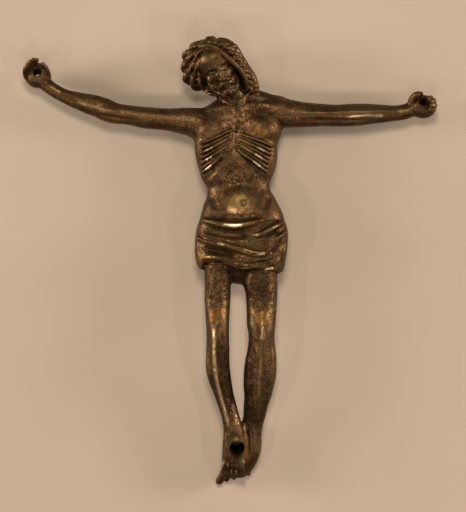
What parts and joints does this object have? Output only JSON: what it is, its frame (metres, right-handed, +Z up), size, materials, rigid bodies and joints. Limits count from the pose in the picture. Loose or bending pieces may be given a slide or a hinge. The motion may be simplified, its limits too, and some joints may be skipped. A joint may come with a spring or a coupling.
{
  "type": "christ figure",
  "caption": "Small cast bronze corpus off its crucifix: arms outstretched, head bowed to one side, draped loincloth, feet crossed and pierced for one nail; lies on its back.",
  "frame": {"origin": "under the middle of the figure's box, on the surface that its back lies on", "axes": "+X to the figure's own left, +Y from the toes to the crown, +Z up out of the chest, as it lies on its back"},
  "size_m": [0.1378, 0.1493, 0.0211],
  "materials": {
    "bronze": "dark brown patinated bronze, mottled, rubbed to a golden brown on the ribs, knees, shins and other high places"
  },
  "bodies": {
    "root": {"christ_figure": "bronze"}
  },
  "joints": []
}
